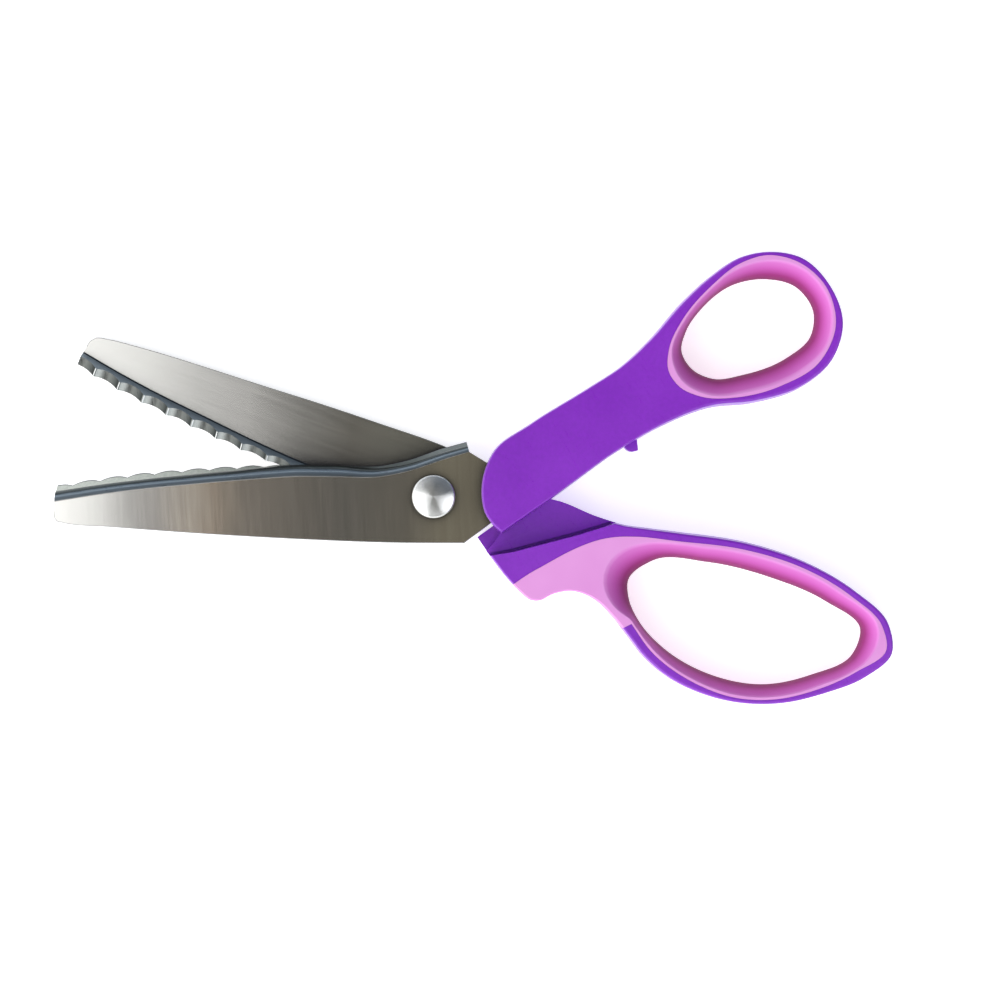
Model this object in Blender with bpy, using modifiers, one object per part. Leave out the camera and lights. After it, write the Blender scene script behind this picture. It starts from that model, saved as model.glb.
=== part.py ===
"""Pinking shears with scalloped blades, lying flat and open: pivot axis along +Z, blades towards -X, +Z up."""

import math

import bmesh
import bpy
from mathutils import Vector

# Driving dimensions in millimetres and degrees. The outlines of each half are given with the shears closed,
# x along the blades and y across them, both measured from the pivot.
MM = 0.001
OPEN_DEG = 20.5  # how far the finger half is swung open from closed
THICK = 15.0  # handle thickness
MID = THICK / 2  # plane the two blades shear in
SHEET = 2.2  # blade steel
OUTER = 11.9  # outer face of the front blade's sheet
INNER = OUTER - SHEET
SHEAR_GAP = 0.3  # between the two toothed edges
FIT = 0.3  # between neighbouring pieces

PITCH = 7.38  # one scallop
DEPTH = 1.1
LAST_CUSP = 32.1  # radius of the scallop cusp nearest the pivot
SCALLOPS = 10
TOOTH_STEPS = 6
LEDGE_SLOPE = 1.4  # rise over run of the ground ledge beside the teeth
BORE = 3.3

# Blade edge, tip to heel: x and y of the bend line, width of the ground ledge, outer bend radius.
FRONT_EDGE = [
    (-102.8, -1.4, 1.3, 2.9),
    (-91.0, 0.45, 1.4, 2.85),
    (-80.0, 1.9, 1.45, 2.75),
    (-66.0, 3.25, 1.25, 2.8),
    (-55.0, 4.2, 0.85, 2.9),
    (-47.0, 4.8, 0.35, 3.2),
    (-38.0, 5.35, 0.0, 3.4),
    (-26.0, 5.3, 0.0, 3.3),
    (-15.0, 5.3, 0.6, 2.4),
    (-6.4, 7.0, 1.0, 2.0),
    (3.4, 10.25, 1.1, 2.0),
    (9.7, 12.1, 1.1, 1.9),
]
BACK_EDGE = [
    (-103.8, -3.65, 1.3, 2.9),
    (-91.0, -1.5, 1.4, 2.85),
    (-80.0, -0.05, 1.45, 2.75),
    (-66.0, 1.35, 1.25, 2.8),
    (-55.0, 2.45, 0.85, 2.9),
    (-47.0, 3.1, 0.35, 3.2),
    (-38.0, 3.6, 0.0, 3.3),
    (-26.0, 3.9, 0.0, 3.2),
    (-15.0, 4.1, 0.5, 2.2),
    (-7.0, 5.6, 0.7, 1.7),
    (-0.5, 7.3, 0.7, 1.6),
    (6.0, 7.7, 0.6, 1.5),
]
# Rest of each sheet: heel, tang inside the handle, plain spine, tip. A third value marks a sharp corner.
FRONT_SHEET = [
    (14.4, 9.3, 1), (22, 11.5, 1), (36, 17.5, 1), (38, 12, 1), (22, -2, 1), (15, -7.6, 1), (8.3, -12.6, 1),
    (-10.5, -12.5), (-34.9, -11.6), (-63.3, -10.0), (-87.7, -8.2), (-99.8, -7.25), (-102.2, -6.7),
    (-102.9, -5.7), (-103.0, -4.0),
]
BACK_SHEET = [
    (10.6, 8.0, 1), (16.2, 0.9, 1), (24, 3.6, 1), (34, 10.5, 1), (36, 6.5, 1), (23, -4.6, 1), (15, -7.6, 1),
    (8.3, -13.4, 1), (-3.5, -14.0), (-20.6, -13.6), (-37.8, -13.0), (-54.8, -12.1), (-71.8, -11.3),
    (-81.0, -10.8), (-90.1, -10.1), (-99.0, -9.1), (-102.0, -8.4), (-103.3, -6.9), (-103.6, -5.3),
]

FACE_INSET = 1.1  # how far the flat faces stand back from the handle's widest outline
PAD_DEEP = 2.0  # soft pad on the front and back faces
ROLL_SHARE, ROLL_MOST = 0.8, 6.5  # pad's rounding towards the finger hole: share of its width, and the most
THUMB_OUTLINE = [
    (16.2, 12.7), (26.1, 20.0), (42.4, 30.1), (50.5, 35.4), (58.6, 43.0), (66.8, 52.5), (74.9, 60.0),
    (83.0, 65.2), (91.5, 66.7), (99.8, 65.0), (107.5, 57.5), (111.2, 47.0), (108.0, 36.5), (99.3, 29.2),
    (87.1, 25.4), (74.9, 24.0), (62.7, 19.3), (50.5, 12.4), (34.3, 0.8), (18.5, -10.2, 1), (15.7, -7.7),
    (13.6, -4.5), (12.8, -1.1), (13.1, 5.6),
]
THUMB_HOLE = [
    (68.6, 44.7), (67.5, 40.0), (70.2, 35.0), (76.0, 32.2), (84.4, 33.3), (96.2, 37.9), (102.6, 43.6),
    (103.4, 50.6), (98.6, 57.2), (90.2, 59.3), (81.0, 57.5), (73.4, 51.7),
]
THUMB_SEAM = [
    (63.6, 40.0), (63.4, 34.0), (66.4, 29.6), (72.0, 27.0), (82.5, 26.8), (94.0, 29.9), (104.0, 36.0),
    (108.6, 46.0), (105.9, 56.8), (98.4, 63.4), (90.2, 65.2), (82.5, 62.8), (75.0, 56.9), (67.3, 47.9),
]
NUB = [
    (51.4, 16.5), (51.7, 13.6), (52.3, 12.85), (53.0, 12.4), (53.7, 12.2), (54.5, 12.3), (55.5, 12.6),
    (55.4, 13.6), (55.0, 17.0),
]

FINGER_OUTLINE = [
    (14.6, -6.3, 1), (20.2, -10.2), (27.8, -14.8), (31.5, -16.5), (34.6, -17.35), (37.2, -16.4), (39.2, -14.1),
    (41.1, -12.6), (44.0, -11.15), (47.6, -10.7), (51.7, -11.4), (56.1, -13.4), (62.3, -17.2), (68.0, -20.8),
    (76.0, -23.8), (86.9, -24.9), (98.2, -23.4), (108.6, -19.4), (118.0, -13.1), (126.8, -5.1), (131.4, 3.6),
    (127.5, 11.3), (116.0, 16.4), (101.0, 19.0), (84.0, 18.4), (65.9, 14.6), (57.9, 12.7), (50.5, 11.1),
    (43.6, 10.7), (31.3, 10.9), (25.5, 9.6), (22.6, 5.5), (17.1, -2.6),
]
FINGER_HOLE = [
    (57.6, -3.0), (59.2, -6.9), (64.8, -12.6), (72.2, -16.4), (87.7, -19.0), (101.6, -16.6), (113.5, -9.3),
    (121.9, -0.4), (121.6, 6.8), (110.0, 10.7), (94.0, 11.5), (76.0, 9.4), (62.0, 4.6),
]
FINGER_SEAM = [
    (26.2, -17.6, 1), (28.3, -14.8, 1), (31.6, -10.2), (35.0, -6.2), (38.4, -2.2), (42.0, 1.5), (45.7, 4.6),
    (49.7, 7.0), (54.7, 9.0), (65.6, 11.8), (84.0, 16.1), (101.0, 16.9), (115.0, 14.4), (125.6, 9.8),
    (129.0, 4.2), (123.5, -4.3), (114.9, -12.8), (105.5, -19.0), (94.9, -22.4), (83.1, -22.4), (69.9, -18.7),
    (62.1, -13.5, 1), (60.4, -15.3, 1), (59.5, -18.5, 1), (50.5, -14.5, 1), (44.0, -15.0, 1), (39.5, -20.0, 1),
    (34.0, -21.5, 1),
]
# Soft edge that the index finger rests in: where the pad wraps round the rim of the handle.
NOTCH = [
    (26.2, -17.6, 1), (28.3, -15.0, 1), (30.3, -12.0, 1), (33.6, -14.6), (36.2, -14.2), (38.6, -11.8),
    (43.0, -9.0), (49.0, -8.6), (55.0, -10.6), (59.8, -13.8, 1), (59.5, -18.5, 1), (50.5, -14.5, 1),
    (44.0, -15.0, 1), (39.5, -20.0, 1), (34.0, -21.5, 1),
]
# Where each shank is thinned so that the two halves lap.
THUMB_LAP = [(8, -20), (56, -20), (56, 11.6), (8, 11.6)]
FINGER_LAP = [
    (8, -17.5), (19.3, -9.9), (25.2, -6.35), (32.4, -1.3), (39.8, 3.9), (44.7, 7.5), (48.8, 10.6), (52.5, 13.2),
    (54, 22), (8, 22),
]
LAP_GROOVE = [
    (17.0, -11.3), (25.4, -6.5), (32.6, -1.45), (40.0, 3.75), (48.0, 9.9), (47.5, 10.6), (39.5, 4.5),
    (32.1, -0.7), (24.9, -5.8), (16.6, -10.7),
]
GROOVE_FLOOR = 5.7
SWEEP_FLOOR = 4.5
HEEL_SWEEP = 20.6  # radius about the pivot that the other half's heel sweeps

STEEL = ((0.56, 0.54, 0.52), 0.3, 1.0)
DARK_STEEL = ((0.36, 0.36, 0.37), 0.4, 1.0)
BRIGHT_STEEL = ((0.72, 0.72, 0.73), 0.18, 1.0)
NYLON = ((0.82, 0.81, 0.78), 0.5, 0.0)
PURPLE = ((0.23, 0.03, 0.55), 0.35, 0.0)
PINK = ((0.76, 0.28, 0.68), 0.5, 0.0)

for obj in list(bpy.data.objects):
    bpy.data.objects.remove(obj)
PARTS = bpy.data.collections.new("pinking_shears")
CUTTERS = bpy.data.collections.new("cutters")
for collection in (PARTS, CUTTERS):
    bpy.context.scene.collection.children.link(collection)
CUTTERS.hide_render = True


def material(name, look):
    colour, roughness, metallic = look
    mat = bpy.data.materials.new(name)
    mat.use_nodes = True
    shader = mat.node_tree.nodes["Principled BSDF"]
    shader.inputs["Base Color"].default_value = (*colour, 1.0)
    shader.inputs["Roughness"].default_value = roughness
    shader.inputs["Metallic"].default_value = metallic
    return mat


def add(name, mesh, look=None, parent=None):
    """A piece of the shears when it is given a look, otherwise a cutter."""
    obj = bpy.data.objects.new(name, mesh)
    obj.parent = parent
    if look:
        PARTS.objects.link(obj)
        mesh.materials.append(material(name, look))
    else:
        CUTTERS.objects.link(obj)
        obj.hide_render = True
        obj.display_type = "WIRE"
    return obj


def boolean(obj, cutter, operation="DIFFERENCE"):
    modifier = obj.modifiers.new(cutter.name, "BOOLEAN")
    modifier.operation = operation
    modifier.solver = "EXACT"
    modifier.object = cutter


def smooth(rows, step, closed=True):
    """Points about `step` apart on a curve through the rows' first two values; later values follow linearly."""
    count = len(rows)
    flags = [len(row) == 3 and row[2] == 1 for row in rows]
    points = [Vector(row[:2]) for row in rows]
    out = []
    for i in range(count if closed else count - 1):
        j = (i + 1) % count
        span = (points[j] - points[i]).length

        def slope(k):
            before, after = (k - 1) % count, (k + 1) % count
            if flags[k] or (not closed and k in (0, count - 1)):
                return (points[j] - points[i]) / span
            back, ahead = points[k] - points[before], points[after] - points[k]
            lengths = back.length + ahead.length
            return (back / back.length * ahead.length + ahead / ahead.length * back.length) / lengths

        straight = flags[i] and flags[j]
        pieces = 1 if straight else max(1, round(span / step))
        start, end = slope(i) * span, slope(j) * span
        for n in range(pieces):
            t = n / pieces
            place = (
                points[i] * (2 * t**3 - 3 * t**2 + 1) + start * (t**3 - 2 * t**2 + t)
                + points[j] * (3 * t**2 - 2 * t**3) + end * (t**3 - t**2)
            )
            rest = [a + (b - a) * t for a, b in zip(rows[i][2:], rows[j][2:])]
            out.append((place.x, place.y, *rest[: len(rows[0]) - 2]))
    if not closed:
        out.append(tuple(rows[-1]))
    return out


def ring(rows, step):
    return [Vector(p[:2]) for p in smooth(rows, step)]


def area(loop):
    return sum(a.x * b.y - b.x * a.y for a, b in zip(loop, loop[1:] + loop[:1])) / 2


def offset(loop, distance):
    """The closed loop moved outwards by a distance, or inwards by a negative one."""
    turn = distance if area(loop) > 0 else -distance
    out = []
    for before, here, after in zip(loop[-1:] + loop[:-1], loop, loop[1:] + loop[:1]):
        a, b = (here - before).normalized(), (after - here).normalized()
        normal = (Vector((a.y, -a.x)) + Vector((b.y, -b.x))).normalized()
        out.append(here + normal * turn / max(0.5, normal.dot(Vector((a.y, -a.x)))))
    return out


def mesh_of(name, points, faces):
    mesh = bpy.data.meshes.new(name)
    mesh.from_pydata([Vector(p) * MM for p in points], [], faces)
    tidy = bmesh.new()
    tidy.from_mesh(mesh)
    bmesh.ops.recalc_face_normals(tidy, faces=tidy.faces)
    tidy.to_mesh(mesh)
    tidy.free()
    return mesh


def loft(name, levels):
    """Solid through rings of equal count, each given as its points and its height."""
    count = len(levels[0][0])
    points = [(p.x, p.y, z) for loop, z in levels for p in loop]
    faces = [list(range(count)), list(range(len(points) - count, len(points)))]
    for level in range(len(levels) - 1):
        low = level * count
        for i in range(count):
            j = (i + 1) % count
            faces.append((low + i, low + j, low + count + j, low + count + i))
    return mesh_of(name, points, faces)


def plate(name, outline, low, high, hole=None):
    """Flat plate between two heights, with an optional hole."""
    curve = bpy.data.curves.new(name, "CURVE")
    curve.dimensions = "2D"
    curve.fill_mode = "BOTH"
    curve.extrude = (high - low) / 2 * MM
    for loop in (outline, hole or []):
        if loop:
            spline = curve.splines.new("POLY")
            spline.points.add(len(loop) - 1)
            spline.use_cyclic_u = True
            for point, place in zip(spline.points, loop):
                point.co = (place[0] * MM, place[1] * MM, 0, 1)
    guide = bpy.data.objects.new(name, curve)
    mesh = bpy.data.meshes.new_from_object(guide)
    bpy.data.objects.remove(guide)
    tidy = bmesh.new()
    tidy.from_mesh(mesh)
    bmesh.ops.remove_doubles(tidy, verts=tidy.verts, dist=1e-7)
    bmesh.ops.translate(tidy, verts=tidy.verts, vec=(0, 0, (high + low) / 2 * MM))
    bmesh.ops.recalc_face_normals(tidy, faces=tidy.faces)
    tidy.to_mesh(mesh)
    tidy.free()
    return mesh


def circle(radius, count=32):
    turns = [2 * math.pi * (i + 0.5) / count for i in range(count)]
    return [Vector((radius * math.cos(t), radius * math.sin(t))) for t in turns]


def turned(name, profile, look, parent=None, closed=False, steps=40):
    """Round piece about the pivot axis from (radius, height) pairs that run down its outer side."""
    mesh = bpy.data.meshes.new(name)
    edges = [(i, i + 1) for i in range(len(profile) - 1)] + ([(len(profile) - 1, 0)] if closed else [])
    mesh.from_pydata([(r * MM, 0, z * MM) for r, z in profile], edges, [])
    obj = add(name, mesh, look, parent)
    screw = obj.modifiers.new("turn", "SCREW")
    screw.steps = screw.render_steps = steps
    screw.use_merge_vertices = True
    screw.merge_threshold = 1e-6
    screw.use_smooth_shade = True
    return obj


def scallop(radius):
    """Height of the shear line at a distance from the pivot: arcs that dip between cusps."""
    if radius < LAST_CUSP:
        return DEPTH / 2 * max(0.0, 1 - (LAST_CUSP - radius) / 1.2)
    curve = ((PITCH / 2) ** 2 + DEPTH**2) / (2 * DEPTH)
    across = (radius - LAST_CUSP) % PITCH - PITCH / 2
    return DEPTH / 2 - math.sqrt(curve**2 - across**2) + curve - DEPTH


def stations(edge):
    """Places along the bend line: foot, radius about the pivot or None, direction, ledge and bend radius."""
    line = smooth(edge, 1.0, closed=False)
    front = [row for row in line if row[0] < -20]
    wanted = [LAST_CUSP + PITCH * i / TOOTH_STEPS for i in range(SCALLOPS * TOOTH_STEPS)]
    tip = Vector(front[0][:2]).length
    wanted = [tip] + [r for r in reversed(wanted) if r < tip - 0.5] + [LAST_CUSP - 1.2]
    out = []
    for radius in wanted:
        for a, b in zip(front, front[1:]):
            near, far = Vector(b[:2]).length, Vector(a[:2]).length
            if near <= radius <= far:
                t = (far - radius) / (far - near)
                x, y, ledge, bend = (p + (q - p) * t for p, q in zip(a, b))
                out.append((Vector((x, y)), radius, None, ledge, bend))
                break
    heel = [row for row in line if row[0] > 1.0 - LAST_CUSP + 2.2][::2]
    if heel[-1] != line[-1]:
        heel.append(line[-1])
    for i, (x, y, ledge, bend) in enumerate(heel):
        a, b = heel[max(i - 1, 0)], heel[min(i + 1, len(heel) - 1)]
        along = Vector((b[0] - a[0], b[1] - a[1])).normalized()
        out.append((Vector((x, y)), None, Vector((-along.y, along.x)), ledge, bend))
    return out


def section(ledge, bend, lift):
    """Cross-section of the folded edge from the sheet's outer face round to its inner face: reach and height."""
    shear = MID + SHEAR_GAP / 2
    crease = shear + max(ledge * LEDGE_SLOPE, DEPTH / 2 + 0.2)
    turn = math.acos(max(0.0, 1 - (OUTER - crease) / bend))
    arc = [turn * i / 5 for i in range(6)]
    points = [(bend * math.sin(t), OUTER - bend * (1 - math.cos(t))) for t in arc]
    wall = points[-1][0]
    if points[-1][1] - crease > 0.05:
        points.append((wall, crease))
    else:
        points.insert(5, ((points[4][0] + wall) / 2 + 0.02, (points[4][1] + points[5][1]) / 2))
    end = shear + lift
    points.append((wall + ledge * (crease - end) / (crease - shear), end))
    points.append((0.15 + 0.85 * (INNER - end), end))
    points.append((0.15, INNER))
    return points


def blade(name, edge, sheet, sign, flipped, parent=None):
    """Stamped blade: a flat sheet whose cutting side is folded over and ends in a scalloped shear face."""
    points, rows = [], []
    for foot, radius, direction, ledge, bend in stations(edge):
        lift = sign * scallop(radius if radius else foot.length)
        row = []
        for reach, height in section(ledge, bend, lift):
            if radius:
                angle = math.atan2(foot.y, foot.x) - reach / radius
                place = Vector((radius * math.cos(angle), radius * math.sin(angle)))
            else:
                place = foot + direction * reach
            row.append(len(points))
            points.append((place.x, place.y, height))
        rows.append(row)
    faces = []
    for a, b in zip(rows, rows[1:]):
        faces += [(a[i], a[i + 1], b[i + 1], b[i]) for i in range(len(a) - 1)]
    faces += [rows[0], rows[-1]]
    rim = [p[:2] for p in smooth([(*edge[-1][:2], 1), *sheet, (*edge[0][:2], 1)], 5.0, closed=False)][1:-1]
    outer = list(range(len(points), len(points) + len(rim)))
    points += [(*p, OUTER) for p in rim]
    inner = list(range(len(points), len(points) + len(rim)))
    points += [(*p, INNER) for p in rim]
    faces.append([row[0] for row in rows] + outer)
    faces.append([row[-1] for row in rows] + inner)
    top = [rows[-1][0], *outer, rows[0][0]]
    bottom = [rows[-1][-1], *inner, rows[0][-1]]
    faces += [(top[i], top[i + 1], bottom[i + 1], bottom[i]) for i in range(len(top) - 1)]
    if flipped:
        points = [(x, -y, THICK - z) for x, y, z in points]
    obj = add(name, mesh_of(name, points, faces), STEEL, parent)
    boolean(obj, add(f"{name}_bore", plate(f"{name}_bore", circle(BORE), -2, THICK + 2)))
    obj.modifiers[-1].object.parent = parent
    return obj


def slot(name, sheet, flipped, parent):
    """Room for a blade's tang: its sheet outline and the fit round it, open towards the blade."""
    loop = [Vector(row[:2]) for row in sheet if len(row) == 3][:-1]
    loop = [Vector((0, loop[0].y)), *loop, Vector((0, loop[-1].y))]
    low, high = INNER - FIT, OUTER + FIT
    if flipped:
        loop, low, high = [Vector((p.x, -p.y)) for p in loop], THICK - high, THICK - low
    return add(name, plate(name, offset(loop, FIT), low, high), parent=parent)


def body(outline):
    """Handle blank: the outline, with sides that round over towards both faces."""
    loop = ring(outline, 3.6)
    heights = (-1, -0.93, -0.72, 0, 0.72, 0.93, 1)
    return [(offset(loop, -FACE_INSET * abs(h) ** 5), MID + MID * h) for h in heights]


def spool(loop, seam):
    """Finger hole cutter: narrow in the middle of the handle and flared at both faces."""
    room = [min((p - q).length for q in offset(seam, -0.5)) for p in loop]
    roll = [min(ROLL_MOST, ROLL_SHARE * r) for r in room]
    for _ in range(4):
        roll = [(a + 2 * b + c) / 4 for a, b, c in zip(roll[-1:] + roll[:-1], roll, roll[1:] + roll[:1])]
    outward = [q - p for p, q in zip(loop, offset(loop, 1.0))]
    levels = []
    for angle in (-90, -62, -36, -12, 12, 36, 62, 90):
        turn = math.radians(angle)
        flare = [p + d * r * (1 - math.cos(turn)) for p, d, r in zip(loop, outward, roll)]
        levels.append((flare, MID + MID * math.sin(turn)))
    return [(levels[0][0], -1.0), *levels, (levels[-1][0], THICK + 1.0)]


def pad_line(loop, seam, pad):
    """Outer side of the pad inside the handle: `pad` outside the hole, and 0.6 short of the seam at least."""
    room = [min((p - q).length for q in seam) for p in loop]
    outward = [q - p for p, q in zip(loop, offset(loop, 1.0))]
    return [p + d * min(pad, r - 0.6) for p, d, r in zip(loop, outward, room)]


def handle(half, outline, hole, seam, lap, lap_heights, pad, tang, parent, notch=None, nub=None):
    """One two-shot handle: a hard core that grips the tang, and the soft pad moulded round its bow."""
    blank = loft(f"{half}_blank", body(outline))
    hole_loop, seam_loop = ring(hole, 3.8), ring(seam, 3.8)
    bed = pad_line(hole_loop, ring(seam, 0.8), pad)

    def cutter(label, mesh):
        return add(f"{half}_{label}", mesh, parent=parent)

    bow = cutter("bow", loft(f"{half}_bow", spool(hole_loop, seam_loop)))
    core = add(f"{half}_handle", blank, PURPLE, parent)
    boolean(core, bow)
    boolean(core, cutter("lap", plate("lap", lap, *lap_heights)))
    boolean(core, slot(f"{half}_slot", tang, half == "finger", parent))
    boolean(core, cutter("face_pocket", plate("face_pocket", seam_loop, THICK - PAD_DEEP, THICK + 2)))
    boolean(core, cutter("back_pocket", plate("back_pocket", seam_loop, -2, PAD_DEEP)))
    boolean(core, cutter("bow_pocket", plate("bow_pocket", bed, -1.5, THICK + 1.5)))

    grip = add(f"{half}_grip", blank.copy(), PINK, parent)
    grip.data.materials[0] = material(f"{half}_grip", PINK)
    boolean(grip, bow)
    boolean(grip, cutter("seam", plate("seam", offset(seam_loop, -FIT), -2.5, THICK + 2.5)), "INTERSECT")
    low, high = PAD_DEEP - FIT, THICK - PAD_DEEP + FIT
    web = cutter("web", plate("web", offset(seam_loop, 2.5), low, high, offset(bed, -FIT)))
    if notch:
        notch_loop = ring(notch, 3.8)
        boolean(core, cutter("rim_pocket", plate("rim_pocket", notch_loop, PAD_DEEP - 0.1, high - FIT + 0.1)))
        boolean(web, cutter("rim_keep", plate("rim_keep", offset(notch_loop, -FIT), low - 3, high + 3)))
    boolean(grip, web)
    if nub:
        boolean(core, cutter("nub", plate("nub", [Vector(p) for p in nub], 4.5, 10.5)), "UNION")
    return core


finger_half = bpy.data.objects.new("finger_half", None)
finger_half.rotation_euler = (0, 0, math.radians(-OPEN_DEG))
PARTS.objects.link(finger_half)

blade("front_blade", FRONT_EDGE, FRONT_SHEET, 1, False)
blade("back_blade", BACK_EDGE, BACK_SHEET, -1, True, finger_half)
handle("thumb", THUMB_OUTLINE, THUMB_HOLE, THUMB_SEAM, THUMB_LAP, (-1.0, 7.7), 3.0, FRONT_SHEET, None, nub=NUB)
finger_core = handle(
    "finger", FINGER_OUTLINE, FINGER_HOLE, FINGER_SEAM, FINGER_LAP, (7.3, THICK + 1), 2.4, BACK_SHEET,
    finger_half, notch=NOTCH,
)
for label, outline, floor in (
    ("lap_groove", LAP_GROOVE, GROOVE_FLOOR), ("heel_sweep", circle(HEEL_SWEEP, 72), SWEEP_FLOOR),
):
    boolean(finger_core, add(label, plate(label, outline, floor, THICK + 2), parent=finger_half))

# Pivot stack, from the front: domed screw, then the spacer and friction washer between the blades, then the
# conical spring washer and thin nut on the back. The screw's threaded end is flush with the table plane.
turned("pivot_screw", [
    (0, 14.6), (1.5, 14.54), (2.9, 14.37), (4.2, 14.12), (5.2, 13.85), (5.65, 13.6), (5.83, 13.2), (5.83, 12.2),
    (3.0, 12.2), (3.0, 2.9), (2.5, 2.6), (2.5, 0.25), (2.25, 0), (0, 0),
], BRIGHT_STEEL)
turned("pivot_spacer", [(6.6, 9.4), (6.6, 6.4), (BORE, 6.4), (BORE, 9.4)], DARK_STEEL, closed=True)
turned("friction_washer", [(6.8, 6.1), (6.8, 5.6), (BORE, 5.6), (BORE, 6.1)], NYLON, closed=True)
turned("spring_washer", [(5.6, 2.8), (5.6, 2.55), (BORE, 2.3), (BORE, 2.6)], DARK_STEEL, closed=True)

nut = add("pivot_nut", plate("pivot_nut", circle(5.4, 6), 0.1, 2.0, circle(2.8)), BRIGHT_STEEL)
chamfer = turned("nut_chamfer", [(0, 3.0), (5.4, 3.0), (5.4, 0.45), (4.8, -0.15), (0, -0.15)], None)
boolean(nut, chamfer, "INTERSECT")
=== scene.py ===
"""Looks of the pinking shears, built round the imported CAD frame: blades, handles, pads, materials."""

import math

import bmesh
import bpy
from mathutils import Matrix, Vector


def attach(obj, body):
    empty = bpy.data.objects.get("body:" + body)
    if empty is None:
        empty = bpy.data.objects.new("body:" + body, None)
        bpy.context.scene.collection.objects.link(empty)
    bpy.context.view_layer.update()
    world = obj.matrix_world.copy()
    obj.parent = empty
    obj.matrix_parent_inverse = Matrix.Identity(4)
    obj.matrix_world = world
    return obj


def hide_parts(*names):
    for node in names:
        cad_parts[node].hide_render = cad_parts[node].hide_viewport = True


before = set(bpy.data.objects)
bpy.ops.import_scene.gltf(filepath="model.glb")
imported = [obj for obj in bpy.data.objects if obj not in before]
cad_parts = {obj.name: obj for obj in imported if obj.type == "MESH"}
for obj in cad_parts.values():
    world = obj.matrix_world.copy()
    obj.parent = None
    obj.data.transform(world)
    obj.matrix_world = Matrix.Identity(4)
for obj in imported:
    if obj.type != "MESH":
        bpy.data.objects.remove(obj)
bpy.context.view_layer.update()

# ---------------------------------------------------------------- sizes, in millimetres and degrees
MM = 0.001
OPEN_DEG = 20.5  # how far the finger half stands open at rest
THICK = 15.0  # of the handles, from the plane the shears lie on
MID = THICK / 2
SHEET = 2.2  # blade steel
OUTER = 11.9  # height of the front blade's outer face
INNER = OUTER - SHEET
SHEAR_GAP = 0.3
PITCH = 7.38  # scallops, from cusp to cusp
DEPTH = 1.1
LAST_CUSP = 32.1  # the cusp nearest the pivot
SCALLOPS = 10
RUN_OUT = 1.2  # from the last cusp to the plain fold
TOOTH_STEPS = 16
LEDGE_SLOPE = 1.4
BORE = 3.3
SEAM_GAP = 0.06  # moulding line between pad and handle

# Blade edge, tip to heel: x and y of the bend line, width of the ground ledge, outer bend radius.
FRONT_EDGE = [
    (-102.8, -1.4, 1.3, 2.9), (-91.0, 0.45, 1.4, 2.85), (-80.0, 1.9, 1.45, 2.75), (-66.0, 3.25, 1.25, 2.8),
    (-55.0, 4.2, 0.85, 2.9), (-47.0, 4.8, 0.35, 3.2), (-38.0, 5.35, 0.0, 3.4), (-26.0, 5.3, 0.0, 3.3),
    (-15.0, 5.3, 0.6, 2.4), (-6.4, 7.0, 1.0, 2.0), (3.4, 10.25, 1.1, 2.0), (9.7, 12.1, 1.1, 1.9),
]
BACK_EDGE = [
    (-103.8, -3.65, 1.3, 2.9), (-91.0, -1.5, 1.4, 2.85), (-80.0, -0.05, 1.45, 2.75), (-66.0, 1.35, 1.25, 2.8),
    (-55.0, 2.45, 0.85, 2.9), (-47.0, 3.1, 0.35, 3.2), (-38.0, 3.6, 0.0, 3.3), (-26.0, 3.9, 0.0, 3.2),
    (-15.0, 4.1, 0.5, 2.2), (-7.0, 5.6, 0.7, 1.7), (-0.5, 7.3, 0.7, 1.6), (6.0, 7.7, 0.6, 1.5),
]
FRONT_SHEET = [
    (14.4, 9.3, 1), (22, 11.5, 1), (36, 17.5, 1), (38, 12, 1), (22, -2, 1), (15, -7.6, 1), (8.3, -12.6, 1),
    (-10.5, -12.5), (-34.9, -11.6), (-63.3, -10.0), (-87.7, -8.2), (-99.8, -7.25), (-102.2, -6.7),
    (-102.9, -5.7), (-103.0, -4.0),
]
BACK_SHEET = [
    (10.6, 8.0, 1), (16.2, 0.9, 1), (24, 3.6, 1), (34, 10.5, 1), (36, 6.5, 1), (23, -4.6, 1), (15, -7.6, 1),
    (8.3, -13.4, 1), (-3.5, -14.0), (-20.6, -13.6), (-37.8, -13.0), (-54.8, -12.1), (-71.8, -11.3),
    (-81.0, -10.8), (-90.1, -10.1), (-99.0, -9.1), (-102.0, -8.4), (-103.3, -6.9), (-103.6, -5.3),
]

PAD_DEEP = 2.0
ROLL_SHARE, ROLL_CLEAR, ROLL_MOST = 0.93, 0.97, 8.0
FLARE, FLARE_ROUND = 1.7, 0.25  # power by which the finger holes widen, and how much of it rolls over
THUMB_OUTLINE = [
    (16.2, 12.7), (26.1, 20.0), (42.4, 30.1), (50.5, 35.4), (58.6, 43.0), (66.8, 52.5), (74.9, 60.0),
    (83.0, 65.2), (91.5, 66.7), (99.8, 65.0), (107.5, 57.5), (111.2, 47.0), (108.0, 36.5), (99.3, 29.2),
    (87.1, 25.4), (74.9, 24.0), (62.7, 19.3), (50.5, 12.4), (34.3, 0.8), (18.5, -10.2, 1), (15.7, -7.7),
    (13.6, -4.5), (12.8, -1.1), (13.1, 5.6),
]
THUMB_HOLE = [
    (68.6, 44.7), (67.5, 40.0), (70.2, 35.0), (76.0, 32.2), (84.4, 33.3), (96.2, 37.9), (102.6, 43.6),
    (103.4, 50.6), (98.6, 57.2), (90.2, 59.3), (81.0, 57.5), (73.4, 51.7),
]
THUMB_SEAM = [
    (63.6, 40.0), (63.4, 34.0), (66.4, 29.6), (72.0, 27.0), (82.5, 26.8), (94.0, 29.9), (104.0, 36.0),
    (108.6, 46.0), (105.9, 56.8), (98.4, 63.4), (90.2, 65.2), (82.5, 62.8), (75.0, 56.9), (67.3, 47.9),
]
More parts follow.
